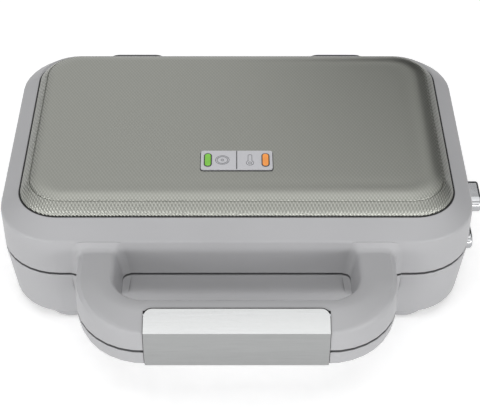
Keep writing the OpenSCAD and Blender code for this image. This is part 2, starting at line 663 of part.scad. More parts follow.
// Disc thermostat and thermal fuse on the outside of the tray's rear wall
thermo_x = 72;
thermo_z = 15.5;
module thermostat() translate([thermo_x, 0, thermo_z]) {
    along_y(tray_out_y, tray_out_y + 5, 7.5);
    along_y(tray_out_y + 5, tray_out_y + 7, 5.5);
    for (s = [-1, 1]) translate([s * 3 - 0.4, tray_out_y + 6.5, -2]) cube([0.8, 5, 4]);
}
module thermal_fuse() translate([-thermo_x, tray_out_y + 3, thermo_z]) {
    along_x(-9, 9, 2.2);
    along_x(-15, 15, 0.6);
    for (s = [-1, 1]) translate([s * 5 - 1.5, -3, -3]) cube([3, 3.5, 6]);
}

// Release button and the slider that it pushes
button_edge = 1.6;
function button_profile(t) = concat([[0, 0], [0, button_h / 2]],
    [for (i = [0:5]) [t - button_edge + button_edge * sin(18 * i), button_h / 2 - button_edge + button_edge * cos(18 * i)]],
    [[t, 0]]);
module button_cap(t) {
    for (s = [-1, 1]) translate([0, s * (button_l - button_h) / 2, 0]) rotate([0, 90, 0]) rotate_extrude()
        polygon([for (p = button_profile(t)) [p[1], p[0]]]);
    for (s = [0, 1]) mirror([0, 0, s]) translate([0, (button_l - button_h) / 2, 0]) rotate([90, 0, 0])
        linear_extrude(button_l - button_h) polygon(button_profile(t));
}
module release_button(wall_x, z, front, out) translate([0, -front, z]) {
    translate([wall_x - wall - flange_gap, 0, 0]) button_cap(body_w / 2 + out - wall_x + wall + flange_gap);
    translate([wall_x - wall - flange_gap - flange_t, 0, 0])
        stadium_x(button_l + 2 * rim_l, button_h + 2 * rim_h, flange_t);
}
module release_slider(wall_x, z, front) {
    back = wall_x - wall - flange_gap - flange_t;
    translate([0, -front, 0]) difference() {
        union() {
            translate([bar_x0, -bar_w / 2, bar_z]) cube([back - bar_x0, bar_w, bar_t]);
            translate([back - riser_t, -bar_w / 2, bar_z])
                cube([riser_t, bar_w, max(spring_z, z) + spring_r + 0.5 - bar_z]);
        }
        translate([window_x0, -lug_w / 2 - 1, bar_z - 1]) cube([window_x1 - window_x0, lug_w + 2, bar_t + 2]);
    }
}
module release_spring(wall_x, front) translate([0, -front, spring_z])
    coil_x(tray_out_x + 0.1, wall_x - wall - flange_gap - flange_t - riser_t - 0.1, spring_r, wire_r, 5);

module lower_cooking_plate() color(CAST) in_base() cooking_plate(lower_button_front);
module lower_tray() color(STEEL) in_base() tray(lower_button_front);
module lower_heating_element() color(ZINC) in_base() heating_element();
module lower_element_clips() color(STEEL) in_base() element_clips();
module lower_tray_screws() color(ZINC) in_base() tray_screws();
module lower_thermostat() color(CERAMIC) in_base() thermostat();
module lower_thermal_fuse() color(CERAMIC) in_base() thermal_fuse();
module lower_release_button() color(CHROME) in_base()
    release_button(lower_wall_x, lower_button_z, lower_button_front, lower_button_out);
module lower_release_slider() color(STEEL) in_base()
    release_slider(lower_wall_x, lower_button_z, lower_button_front);
module lower_release_spring() color(ZINC) in_base() release_spring(lower_wall_x, lower_button_front);
module upper_cooking_plate() color(CAST) in_lid() cooking_plate(upper_button_front);
module upper_tray() color(STEEL) in_lid() tray(upper_button_front);
module upper_heating_element() color(ZINC) in_lid() heating_element();
module upper_element_clips() color(STEEL) in_lid() element_clips();
module upper_tray_screws() color(ZINC) in_lid() tray_screws();
module upper_thermostat() color(CERAMIC) in_lid() thermostat();
module upper_thermal_fuse() color(CERAMIC) in_lid() thermal_fuse();
module upper_release_button() color(CHROME) in_lid()
    release_button(upper_wall_x, upper_button_z, upper_button_front, upper_button_out);
module upper_release_slider() color(STEEL) in_lid()
    release_slider(upper_wall_x, upper_button_z, upper_button_front);
module upper_release_spring() color(ZINC) in_lid() release_spring(upper_wall_x, upper_button_front);

// Mains terminals on the underside cover, and the rubber gland in the rear wall
block_d = 8;
block_y = tray_out_y + 1.2 + block_d / 2;
pole = 9;
block_w = 3 * pole + 3;
module terminal_block() color(CERAMIC) in_base()
    translate([0, 0, base_h - under_t - 0.5]) mirror([0, 0, 1]) difference() {
        translate([-block_w / 2, block_y - block_d / 2, 0]) cube([block_w, block_d, block_d]);
        for (i = [-1:1]) translate([i * pole, 0, block_d / 2]) along_y(block_y - block_d, block_y + block_d, 1.6);
        for (i = [-1:1]) translate([i * pole, block_y, block_d / 2]) cylinder(r = 1.4, h = block_d);
    }

module cord_gland() color(RUBBER) in_base() translate([0, 0, base_h - gland_z]) difference() {
    union() {
        along_y(gland_y - wall - 3, gland_y + 2.6, gland_d / 2 - 0.01);
        along_y(gland_y - wall - 3, gland_y - wall - 1.1, gland_d / 2 + 1.5);
        along_y(gland_y + 1, gland_y + 2.8, gland_d / 2 + 2);
        translate([0, gland_y + 10, 0]) rotate([90, 0, 0]) cylinder(r1 = gland_d / 2 - 1.4, r2 = gland_d / 2, h = 7.5);
    }
    along_y(gland_y - 20, gland_y + 20, cord_d / 2);
}

// Insulated wires inside each half
wire_d = 1.9;
tail_y = tray_out_y + 12;
function wire_up(p) = [for (q = p) [q[0], tail_y + q[1], q[2]]];
lower_wires = [for (s = [-1, 1]) [[s * 9, 0.2, base_h - under_t - 4.5], [s * 10, 1.4, base_h - under_t - 5.5],
    [s * 16, 1.8, 26], [s * 24, 1.8, 23.5], [s * (cold_span / 2 - 4), 1.6, tube_z + 0.8],
    [s * (cold_span / 2 - 2.6), 1.2, tube_z], [s * (cold_span / 2 - 1.7), 0, tube_z]]];
upper_wires = [
    [[-thermo_x + 14, -8, thermo_z + 1], [-thermo_x + 18, -4, 16.5], [-thermo_x + 24, 1.2, 19],
        [-cold_span / 2 - 4, 1.8, tube_z], [-cold_span / 2 - 1.7, 0, tube_z]],
    [[cold_span / 2 + 1.7, 0, tube_z], [cold_span / 2 + 4, 1.8, tube_z], [cold_span / 2 + 14, 1.6, 19],
        [thermo_x - 10, 0, 16.5], [thermo_x - 4.6, -2, thermo_z]]];
module wires(list) for (p = list) tube(wire_up(p), wire_d / 2, 8);
module base_wiring() color("firebrick") in_base() wires(lower_wires);
module lid_wiring() color("firebrick") in_lid() wires(upper_wires);

// Hinge: brackets with ears on the base, arms with a knuckle on the lid, a pin through both
module in_profile(x0, x1) translate([x0, 0, 0]) rotate([90, 0, 90]) linear_extrude(x1 - x0) children();
module at_hinges() for (s = [-1, 1]) translate([s * hinge_x, 0, 0]) children();
module hinge_brackets() color(CHARCOAL) in_base() at_hinges() difference() {
    union() {
        in_profile(-arm_w / 2, arm_w / 2) polygon([[wall_y(bracket_z0), bracket_z0],
            [rear_y + bracket_t, bracket_z0], [rear_y + bracket_t, bracket_z1],
            [wall_y(bracket_z1), bracket_z1]]);
        for (s = [-1, 1]) translate([s * (knuckle_w / 2 + ear_gap + ear_w / 2), 0, 0]) {
            translate([0, axis_y, 0]) along_x(-ear_w / 2, ear_w / 2, ear_r);
            in_profile(-ear_w / 2, ear_w / 2) polygon([[rear_y + 1, bracket_z0],
                [axis_y, 0], [axis_y + ear_r * sin(34), ear_r * cos(34)], [rear_y + 1, bracket_z1 - 1]]);
        }
    }
    translate([0, axis_y, 0]) along_x(-arm_w, arm_w, pin_d / 2 + 0.01);
    for (t = [-1, 1]) translate([t * 11.5, 0, bracket_z1 - 6]) along_y(rear_y - 9, rear_y + 9, screw_r + running);
}
module bracket_screws() color(ZINC) in_base() at_hinges() for (t = [-1, 1])
    translate([t * 11.5, wall_y(bracket_z1 - 6) - wall - 0.5, bracket_z1 - 6]) rotate([90, 0, 0]) screw(5.5);

// A hinge arm's side profile, set back by d: a back round the pin that runs up to the lid's wall
function arm_profile(d) = let (y1 = rear_y + arm_back - d, r = arm_r - d, a0 = acos((y1 - axis_y) / r)) concat(
    [[rear_y, arm_z0], [y1 - 1, arm_z0], [y1, arm_z0 + 1]],
    [for (i = [0:6]) let (a = a0 + (70 - a0) * i / 6) [axis_y + r * cos(a), r * sin(a)]],
    [[rear_y, arm_z1 - d]]);
arm_ends = [[0, 2.4], [0.55, 1.4], [1.6, 0.7], [3.2, 0.25], [5.3, 0]];
arm_sections = concat([for (e = arm_ends) [-arm_w / 2 + e[0], e[1]]],
    [for (i = [len(arm_ends) - 1:-1:0]) [arm_w / 2 - arm_ends[i][0], arm_ends[i][1]]]);
module hinge_arms() color(CHARCOAL) in_lid() at_hinges() difference() {
    union() {
        skin([for (e = arm_sections) [for (p = arm_profile(e[1])) [e[0], p[0], p[1]]]]);
        translate([0, axis_y, 0]) along_x(-knuckle_w / 2, knuckle_w / 2, knuckle_r);
        translate([-knuckle_w / 2, axis_y - knuckle_r, 0]) cube([knuckle_w, 2 * knuckle_r, arm_z0 + 1]);
    }
    translate([0, axis_y, 0]) along_x(-knuckle_w, knuckle_w, pin_d / 2 + running);
    for (t = [-1, 1]) translate([t * 11.5, 0, arm_screw_z]) along_y(rear_y - 1, rear_y + 9, screw_r + running);
}
module arm_screws() color(ZINC) in_lid() at_hinges() for (t = [-1, 1])
    translate([t * 11.5, rear_y - wall, arm_screw_z]) rotate([90, 0, 0]) screw(8);
module hinge_pins() color(STEEL) in_base() at_hinges() translate([0, axis_y, 0])
    along_x(-arm_w / 2 + 0.5, arm_w / 2 - 0.5, pin_d / 2);

// Lid

module lid_housing() color(GREY) in_lid() difference() {
    union() {
        moulded([[half_gap, 0.3], [half_gap + lip, 0], [lid_wall_h - 1.6, 0], [lid_wall_h - 0.5, 0.3],
            [lid_wall_h + 0.5, 1.1], [lid_top - 0.2, shoulder_w - cover_gap - 0.6],
            [lid_top, shoulder_w - cover_gap - 0.2]]);
        half_handle(upper_arm, upper_grip, 1);
    }
    translate([0, cover_y, lid_top - cover_seat])
        slab(cover_w + 2 * cover_gap, cover_d + 2 * cover_gap, cover_r + cover_gap, cover_seat + 5);
    translate([0, cover_y, lid_top - cover_seat - 5])
        slab(cover_w - 2 * ledge_w, cover_d - 2 * ledge_w, cover_r - ledge_w, 10);
    difference() {
        moulded([[0, wall], [lid_wall_h - 2, wall], [lid_top - cover_seat - ledge_t, shoulder_w - cover_gap - wall * 0.6],
            [lid_top - cover_seat - ledge_t + 0.01, shoulder_w + 2]]);
        bosses(flange_z + tray_t, lid_top);
        for (s = [-1, 1]) translate([-body_w / 2, s * 45 - 7, half_gap])
            cube([wall + 5.5, 14, 0.8]);
    }
    at_bosses() cylinder(r = screw_r + running, h = lid_wall_h - 3);
    for (x = [-1, 1]) for (y = [-1, 1]) translate([x * (cover_w / 2 - 1.6) - 0.8, cover_y + y * 40 - 4.5, lid_top - 10])
        cube([1.6, 9, 12]);
    translate([upper_wall_x - 12, -upper_button_front, upper_button_z])
        stadium_x(button_l + 0.6, button_h + 0.6, 24);
    for (s = [-1, 1]) for (t = [-1, 1]) translate([s * hinge_x + t * 11.5, 0, arm_screw_z])
        along_y(rear_y - 9, rear_y + 5, screw_r + running);
    clip_recess();
    pivot_pocket();
}

// Pressed cover: a shallow pillow with a rolled edge, a skirt and four bent tabs
cover_steps = 7;
function cover_ring(z, inset, n = 9) =
    at_z(centred(cover_w - 2 * inset, cover_d - 2 * inset, cover_r - inset * 0.55, n), z);
module cover_shape(t) skin(concat(
    [cover_ring(lid_top - cover_seat - (t > 0 ? 1 : 0), t), cover_ring(lid_top, t)],
    [for (i = [1:cover_steps]) let (a = 90 * i / cover_steps)
        cover_ring(lid_top + (cover_rise - t) * sin(a), t + (cover_roll - t) * (1 - cos(a)))]));
module lid_cover() color(STEEL) in_lid() {
    difference() {
        translate([0, cover_y, 0]) cover_shape(0);
        translate([0, cover_y, 0]) cover_shape(cover_t);
        translate([0, panel_y, lid_top]) slab(panel_w - 2 * panel_edge + 0.4, panel_d - 2 * panel_edge + 0.4, 1, 20);
    }
    for (x = [-1, 1]) for (y = [-1, 1]) translate([0, cover_y + y * 40 - 4, lid_top - cover_seat - ledge_t - 0.8]) {
        translate([x * (cover_w / 2 - 1.6) - 0.4, 0, 0]) cube([0.8, 8, cover_seat + ledge_t + 1]);
        translate([x * (cover_w / 2 - 3.2) - 1.8, 0, 0]) cube([3.6, 8, 0.7]);
        translate([x * (cover_w / 2 - 1) - 1, 0, cover_seat + ledge_t]) cube([2, 8, 0.8]);
    }
}

module lens_places() for (s = [-1, 1]) translate([s * lens_span / 2, panel_y, 0]) children();
module indicator_panel() color(STEEL) in_lid() difference() {
    union() {
        translate([0, panel_y, cover_top]) slab(panel_w, panel_d, 1.6, panel_up);
        translate([0, panel_y, cover_top - panel_down])
            slab(panel_w - 2 * panel_edge, panel_d - 2 * panel_edge, 0.8, panel_down);
        for (s = [-1, 1]) translate([s * leg_x - leg_w / 2, panel_y - leg_d / 2, board_z + board_t])
            cube([leg_w, leg_d, cover_top - board_z - board_t]);
    }
    lens_places() translate([0, 0, board_z + board_t])
        stadium_z(lens_l + 0.1, lens_w + 0.1, cover_top + panel_up + 1 - board_z);
}
module lens(s) in_lid() translate([s * lens_span / 2, panel_y, cover_top - panel_down])
    stadium_z(lens_l, lens_w, panel_down + panel_up + 0.4);
module power_light_lens() color("green") lens(-1);
module ready_light_lens() color("orange") lens(1);
module lamp_board() color("darkgreen") in_lid() difference() {
    translate([-board_w / 2, panel_y - board_d / 2, board_z]) cube([board_w, board_d, board_t]);
    lens_places() translate([0, 0, board_z - 1]) cylinder(r = 0.6, h = board_t + 2);
}
module indicator_lamps() color("orange") in_lid() lens_places() {
    translate([0, 0, board_z + board_t]) cylinder(r = 2, h = cover_top - panel_down - 0.5 - board_z - board_t);
    translate([0, 0, board_z - 1]) cylinder(r = 0.5, h = 4);
}

// Latch clip over both halves of the grip
module handle_latch() color(CHROME) in_lid() difference() {
    union() {
        intersection() {
            in_grip(clip_w + 4) mirror([1, 0]) polygon(concat(clip_line, clip_back));
            clip_plan(0);
        }
        at_latch() along_x(clip_corner - clip_w / 2, clip_w / 2 - clip_corner, barrel_r);
    }
    at_latch() along_x(-clip_w, clip_w, clip_pin_d / 2 + running);
    at_latch() along_x(-spring_gap / 2, spring_gap / 2, coil_r + coil_wire + 0.1);
    translate([-spring_gap / 2, grip_y0 - clip_pin_u - barrel_r - 0.5, clip_pin_z - barrel_r - 1])
        cube([spring_gap, 2 * barrel_r + 1, barrel_r + 1]);
}
module latch_pin() color(STEEL) in_lid() at_latch()
    along_x(-clip_w / 2 - 4.5, clip_w / 2 + 4.5, clip_pin_d / 2);
module latch_spring() color(ZINC) in_lid() at_latch()
    coil_x(-spring_gap / 2 + 0.6, spring_gap / 2 - 0.6, coil_r, coil_wire, 8, 12);

base_housing();
base_underside();
foot_front_left();
foot_front_right();
foot_rear_left();
foot_rear_right();
underside_screws();
lower_cooking_plate();
lower_tray();
lower_heating_element();
lower_element_clips();
lower_tray_screws();
lower_thermostat();
lower_thermal_fuse();
lower_release_button();
lower_release_slider();
lower_release_spring();
terminal_block();
cord_gland();
base_wiring();
hinge_brackets();
bracket_screws();
hinge_pins();
lid_housing();
lid_cover();
indicator_panel();
power_light_lens();
ready_light_lens();
lamp_board();
indicator_lamps();
upper_cooking_plate();
upper_tray();
upper_heating_element();
upper_element_clips();
upper_tray_screws();
upper_thermostat();
upper_thermal_fuse();
upper_release_button();
upper_release_slider();
upper_release_spring();
lid_wiring();
hinge_arms();
arm_screws();
handle_latch();
latch_pin();
latch_spring();
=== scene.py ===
"""A two-slice sandwich toaster: its finishes, its soft edges, its small marks and its stage."""

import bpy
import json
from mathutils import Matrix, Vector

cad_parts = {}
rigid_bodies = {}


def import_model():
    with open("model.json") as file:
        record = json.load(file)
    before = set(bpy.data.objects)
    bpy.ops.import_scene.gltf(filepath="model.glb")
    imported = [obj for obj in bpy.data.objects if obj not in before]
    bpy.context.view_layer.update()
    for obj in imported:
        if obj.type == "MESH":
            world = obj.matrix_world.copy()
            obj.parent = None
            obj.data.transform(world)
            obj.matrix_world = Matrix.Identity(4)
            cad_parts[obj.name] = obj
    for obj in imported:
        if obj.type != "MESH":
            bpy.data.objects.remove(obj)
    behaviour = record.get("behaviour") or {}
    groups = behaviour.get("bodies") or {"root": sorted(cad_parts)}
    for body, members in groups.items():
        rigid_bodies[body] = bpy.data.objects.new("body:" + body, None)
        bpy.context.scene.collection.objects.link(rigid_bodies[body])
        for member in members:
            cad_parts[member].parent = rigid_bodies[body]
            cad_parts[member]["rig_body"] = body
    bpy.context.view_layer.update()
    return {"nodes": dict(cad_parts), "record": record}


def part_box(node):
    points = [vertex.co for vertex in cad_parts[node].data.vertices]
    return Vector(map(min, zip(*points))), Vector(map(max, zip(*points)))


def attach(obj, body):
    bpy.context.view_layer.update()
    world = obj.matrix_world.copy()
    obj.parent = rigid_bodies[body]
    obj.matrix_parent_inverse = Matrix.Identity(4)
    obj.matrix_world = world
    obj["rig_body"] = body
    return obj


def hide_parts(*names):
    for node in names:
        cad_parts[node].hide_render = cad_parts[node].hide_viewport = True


bl_info = {
    "name": "Sandwich toaster",
    "version": (1, 0, 0),
    "blender": (4, 5, 0),
    "location": "3D View > Sidebar > Toaster",
    "description": "Dresses the toaster in its real finishes and sets it on a studio floor",
    "category": "Object",
}

import json
import math

import bmesh
import bpy
from mathutils import Vector

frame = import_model()

MM = 0.001

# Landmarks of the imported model, in metres
GAP_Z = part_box("lid_housing")[1].z
COVER_LOW, COVER_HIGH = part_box("lid_cover")
PANEL_LOW, PANEL_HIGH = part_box("indicator_panel")
COVER_MIDDLE = (COVER_LOW + COVER_HIGH) / 2
PANEL_MIDDLE = Vector((COVER_MIDDLE.x, (PANEL_LOW.y + PANEL_HIGH.y) / 2))


def body_of(node):
    """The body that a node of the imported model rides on."""
    return frame["nodes"][node]["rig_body"]


def slot_of(node):
    """The material slot that the record gives a node."""
    for row in frame["record"]["subparts"]:
        if row["node"] == node:
            return row["material_slot"]
    raise ValueError(f"the record has no node named {node}")


# Sizes and colours


class ToasterSizes(bpy.types.PropertyGroup):
    """Sizes of what is modelled here, in metres."""

    cover_corner: bpy.props.FloatProperty(
        name="Cover corner", description="Corner radius of the pressed cover in plan",
        default=23 * MM, unit="LENGTH")
    cover_sheet: bpy.props.FloatProperty(
        name="Cover sheet", description="Thickness of the cover's sheet",
        default=0.8 * MM, unit="LENGTH")
    emboss_across: bpy.props.FloatProperty(
        name="Emboss across", description="Pitch of the cover's emboss from left to right",
        default=2.0 * MM, unit="LENGTH")
    emboss_along: bpy.props.FloatProperty(
        name="Emboss along", description="Pitch of the cover's emboss from front to back",
        default=1.7 * MM, unit="LENGTH")
    emboss_lean: bpy.props.FloatProperty(
        name="Emboss lean", description="How far a raised grain leans to the left over its own row",
        default=0.3 * MM, unit="LENGTH")
    moulded_edge: bpy.props.FloatProperty(
        name="Moulded edge", description="Radius on the hard edges of the mouldings",
        default=0.4 * MM, unit="LENGTH")
    metal_edge: bpy.props.FloatProperty(
        name="Metal edge", description="Radius on the edges of sheet and turned metal",
        default=0.2 * MM, unit="LENGTH")
    mark_line: bpy.props.FloatProperty(
        name="Mark line", description="Radius of the line that the panel's pictograms are drawn with",
        default=0.16 * MM, unit="LENGTH")


class ToasterColours(bpy.types.PropertyGroup):
    """Colours of the toaster, as sRGB hex values."""

    housing: bpy.props.StringProperty(
        name="Housing", description="Light grey of the mouldings", default="#A7A7A9")
    cover: bpy.props.StringProperty(
        name="Cover", description="Warm grey of the embossed cover", default="#969791")
    charcoal: bpy.props.StringProperty(
        name="Charcoal", description="Dark mouldings of hinge and underside", default="#2E2F31")
    clip: bpy.props.StringProperty(
        name="Clip", description="Metal of the latch clip", default="#A0A1A1")
    panel: bpy.props.StringProperty(
        name="Panel", description="Silver of the indicator panel", default="#C4C4C8")
    green: bpy.props.StringProperty(
        name="Power light", description="Lens of the power light", default="#7CCB35")
    amber: bpy.props.StringProperty(
        name="Ready light", description="Lens of the ready light", default="#EA9034")


def linear(hex_value):
    """An sRGB hex value as linear red, green and blue, with an alpha of 1."""
    channels = [int(hex_value.lstrip("#")[i:i + 2], 16) / 255 for i in (0, 2, 4)]
    return [c / 12.92 if c <= 0.04045 else ((c + 0.055) / 1.055) ** 2.4 for c in channels] + [1.0]


def shade(colour, factor):
    """A linear colour made lighter or darker."""
    return [min(c * factor, 1.0) for c in colour[:3]] + [colour[3]]


# Materials

# A noise texture stays mostly between these two values
NOISE_LOW, NOISE_HIGH = 0.3, 0.7
# Painted shade: walls closer than this darken a seam's colour. Where the first share of the sky is open
# the seam is painted dark, and where the second is open it keeps the face's colour
SEAM_SHADE_REACH = 2.0 * MM
SEAM_SHADE_DARK, SEAM_UNSHADED = 0.45, 0.92


def add(tree, kind, inputs=None, **settings):
    """Adds a node with its settings. An input is given a value, or linked to a socket."""
    made = tree.nodes.new(kind)
    for name, value in settings.items():
        setattr(made, name, value)
    for name, value in (inputs or {}).items():
        if isinstance(value, bpy.types.NodeSocket):
            tree.links.new(value, made.inputs[name])
        else:
            made.inputs[name].default_value = value
    return made


def new_material(name, **constants):
    """An empty material with its tree, its shader and the object's own coordinates. A constant is a
    shader's input with its spaces written as underscores."""
    material = bpy.data.materials.new(name)
    material.use_nodes = True
    tree = material.node_tree
    tree.nodes.clear()
    shader = add(tree, "ShaderNodeBsdfPrincipled",
                 {socket.replace("_", " "): value for socket, value in constants.items()})
    add(tree, "ShaderNodeOutputMaterial", {"Surface": shader.outputs[0]})
    place = add(tree, "ShaderNodeTexCoord").outputs["Object"]
    return material, tree, shader, place


def grained(tree, shader, place, width, detail=2.0, colours=None, roughness=None, relief=None):
    """Lets the surface follow one noise, whose grains are about width metres wide. Colours and
    roughness are each a low and a high end, and relief is a depth in metres and a strength."""
    # At a scale of 1 the noise has grains half a metre wide
    noise = add(tree, "ShaderNodeTexNoise",
                {"Vector": place, "Scale": 0.5 / width, "Detail": detail}).outputs[0]
    if colours:
        tone = add(tree, "ShaderNodeMapRange", {0: noise, 1: NOISE_LOW, 2: NOISE_HIGH}).outputs[0]
        tint = add(tree, "ShaderNodeMix", {0: tone, 6: colours[0], 7: colours[1]}, data_type="RGBA")
        tree.links.new(tint.outputs[2], shader.inputs["Base Color"])
    if roughness:
        low, high = roughness
        rough = add(tree, "ShaderNodeMapRange", {0: noise, 1: NOISE_LOW, 2: NOISE_HIGH, 3: low, 4: high})
        tree.links.new(rough.outputs[0], shader.inputs["Roughness"])
    if relief:
        depth, strength = relief
        bump = add(tree, "ShaderNodeBump", {"Height": noise, "Distance": depth, "Strength": strength})
        tree.links.new(bump.outputs[0], shader.inputs["Normal"])


def moulded_abs(name, colour, roughness=0.46):
    """ABS from a spark-eroded tool: satin, with a fine even grain and no sparkle, and a slow drift of
    its tone. Its narrow seams get painted shade: their colour darkens where nearby walls shut out the sky."""
    material, tree, shader, place = new_material(name, IOR=1.53)
    # Eroded pits are about 0.1 mm wide, and are drawn coarser so that they show
    grained(tree, shader, place, width=0.35 * MM, detail=3.0, roughness=(roughness - 0.05, roughness + 0.05),
            relief=(0.012 * MM, 0.6))
    grained(tree, shader, place, width=30 * MM, colours=(shade(colour, 0.975), shade(colour, 1.02)))
    face = shader.inputs["Base Color"].links[0].from_socket
    # Painted shade: ambient occlusion darkens the colour towards near black in narrow seams and creases
    sky = add(tree, "ShaderNodeAmbientOcclusion", {"Color": (1, 1, 1, 1), "Distance": SEAM_SHADE_REACH}, samples=8)
    clear = add(tree, "ShaderNodeMapRange", {0: sky.outputs["AO"], 1: SEAM_SHADE_DARK, 2: SEAM_UNSHADED}).outputs[0]
    painted_seam_shade = add(tree, "ShaderNodeMix", {0: clear, 6: shade(colour, 0.2), 7: face}, data_type="RGBA")
    tree.links.new(painted_seam_shade.outputs[2], shader.inputs["Base Color"])
    return material


def embossed_steel(name, colour, across, along, lean):
    """Stainless sheet rolled with a linen emboss: small raised grains in staggered rows, each leaning
    a little to the left, with their tops painted lighter and their valleys painted darker as painted
    highlight and shade. The map that it reads is the flat sheet, in metres, and pressing has stretched
    the emboss to the depth that the mesh holds."""
    material, tree, shader, place = new_material(name, Metallic=1.0, Roughness=0.33)
    flat = add(tree, "ShaderNodeUVMap", uv_map="sheet").outputs[0]
    split = add(tree, "ShaderNodeSeparateXYZ", {0: flat}).outputs
    column = add(tree, "ShaderNodeMath", {0: split[0], 1: across}, operation="DIVIDE").outputs[0]
    row = add(tree, "ShaderNodeMath", {0: split[1], 1: along}, operation="DIVIDE").outputs[0]
    # Each row leans from its own start, and the cosines set every second row half a pitch aside
    raised = add(tree, "ShaderNodeMath", {0: row, 1: 0.5}, operation="ADD").outputs[0]
    in_row = add(tree, "ShaderNodeMath", {0: raised}, operation="FRACT").outputs[0]
    leaning = add(tree, "ShaderNodeMath", {0: in_row, 1: lean / across, 2: column},
                  operation="MULTIPLY_ADD").outputs[0]
    turn_across = add(tree, "ShaderNodeMath", {0: leaning, 1: 2 * math.pi}, operation="MULTIPLY").outputs[0]
    turn_along = add(tree, "ShaderNodeMath", {0: row, 1: math.pi}, operation="MULTIPLY").outputs[0]
    wave_across = add(tree, "ShaderNodeMath", {0: turn_across}, operation="COSINE").outputs[0]
    wave_along = add(tree, "ShaderNodeMath", {0: turn_along}, operation="COSINE").outputs[0]
    grains = add(tree, "ShaderNodeMath", {0: wave_across, 1: wave_along}, operation="MULTIPLY").outputs[0]
    # The valleys between the grains are flat, and so is the very top of each
    height = add(tree, "ShaderNodeMapRange", {0: grains, 1: -0.5, 2: 0.9}).outputs[0]
    depth = add(tree, "ShaderNodeAttribute", attribute_name="depth").outputs["Fac"]
    # Painted highlight and shade: the colour lightens on the grains and darkens in the valleys, more where
    # the emboss is deep
    centred = add(tree, "ShaderNodeMath", {0: height, 1: 0.5}, operation="SUBTRACT").outputs[0]
    tone = add(tree, "ShaderNodeMath", {0: centred, 1: depth, 2: 0.5}, operation="MULTIPLY_ADD").outputs[0]
    tint = add(tree, "ShaderNodeMix", {0: tone, 6: shade(colour, 0.7), 7: shade(colour, 1.15)},
               data_type="RGBA")
    tree.links.new(tint.outputs[2], shader.inputs["Base Color"])
    bump = add(tree, "ShaderNodeBump", {"Height": height, "Distance": 0.18 * MM, "Strength": depth})
    tree.links.new(bump.outputs[0], shader.inputs["Normal"])
    return material


def satin_metal(name, colour, roughness=0.3, brushed=False, metallic=1.0):
    """Rolled or blasted metal with a fine tooth. Brushing draws the tooth out along X and deepens it."""
    material, tree, shader, place = new_material(name, Metallic=metallic)
    # The real tooth is under 0.1 mm wide, and is drawn coarser so that it shows
    stretch = (0.03, 1.0, 1.0) if brushed else (1.0, 1.0, 1.0)
    drawn = add(tree, "ShaderNodeMapping", {"Vector": place, "Scale": stretch}).outputs[0]
    grained(tree, shader, drawn, width=0.3 * MM, detail=3.0,
            colours=(shade(colour, 0.96), shade(colour, 1.03)),
            roughness=(roughness - 0.04, roughness + 0.06),
            relief=(0.006 * MM, 0.6 if brushed else 0.5))
    return material


def chromed_abs(name, colour):
    """Bright chrome plate on ABS: a near mirror with the faintest orange peel."""
    material, tree, shader, place = new_material(name, Base_Color=colour, Metallic=1.0)
    grained(tree, shader, place, width=1.5 * MM, detail=1.0, roughness=(0.10, 0.16), relief=(0.01 * MM, 0.3))
    return material


def speckled_ceramic(name, colour, fleck):
    """Sol-gel ceramic non-stick sprayed on cast aluminium: satin dark grey with pale flecks and a
    slight spray texture."""
    material, tree, shader, place = new_material(name, IOR=1.5)
    grained(tree, shader, place, width=0.5 * MM, detail=3.0, roughness=(0.30, 0.42), relief=(0.02 * MM, 0.6))
    # The flecks lie about 1.6 mm apart, and only one cell in three or so has one in its middle
    cells = add(tree, "ShaderNodeTexVoronoi", {"Vector": place, "Scale": 1 / (1.6 * MM), "Randomness": 1.0})
    dots = add(tree, "ShaderNodeMapRange", {0: cells.outputs[0], 1: 0.10, 2: 0.20, 3: 1.0, 4: 0.0}).outputs[0]
    chosen = add(tree, "ShaderNodeMath", {0: cells.outputs[1], 1: 0.62}, operation="GREATER_THAN").outputs[0]
    flecks = add(tree, "ShaderNodeMath", {0: dots, 1: chosen}, operation="MULTIPLY").outputs[0]
    tint = add(tree, "ShaderNodeMix", {0: flecks, 6: colour, 7: fleck}, data_type="RGBA")
    tree.links.new(tint.outputs[2], shader.inputs["Base Color"])
    return material


def heat_tinted_steel(name):
    """Element sheath after some use: dark straw tints in slow bands, half matt."""
    material, tree, shader, place = new_material(name, Metallic=0.9, Roughness=0.42)
    grained(tree, shader, place, width=12 * MM, detail=3.0, colours=(linear("#4A4440"), linear("#7A6C58")))
    grained(tree, shader, place, width=0.4 * MM, relief=(0.01 * MM, 1.0))
    return material


def lit_lens(name, colour, glow):
    """Clear polycarbonate lens over a small lamp: glossy, tinted and lit from below."""
    material, tree, shader, place = new_material(name, Roughness=0.18, IOR=1.58, Emission_Color=colour,
                                                 Emission_Strength=glow)
    grained(tree, shader, place, width=3 * MM, colours=(shade(colour, 0.85), shade(colour, 1.1)))
    return material


def soft_rubber(name, colour):
    """Moulded rubber: dull, with a dusty grain."""
    material, tree, shader, place = new_material(name, Roughness=0.8)
    # The dust is finer than this, and is drawn coarser so that it shows
    grained(tree, shader, place, width=0.6 * MM, detail=4.0, colours=(colour, shade(colour, 1.5)),
            relief=(0.02 * MM, 1.0))
    return material


def fired_ceramic(name):
    """Steatite insulator: off-white, dry and slightly pitted."""
    material, tree, shader, place = new_material(name, Roughness=0.55)
    grained(tree, shader, place, width=0.8 * MM, detail=3.0, colours=(linear("#D8D4C8"), linear("#ECE9E0")),
            relief=(0.03 * MM, 1.0))
    return material


def painted_ink(name, colour):
    """Screen ink on the panel: flat and slightly raised."""
    material, tree, shader, place = new_material(name, Roughness=0.5)
    grained(tree, shader, place, width=0.2 * MM, colours=(shade(colour, 0.9), shade(colour, 1.1)))
    return material


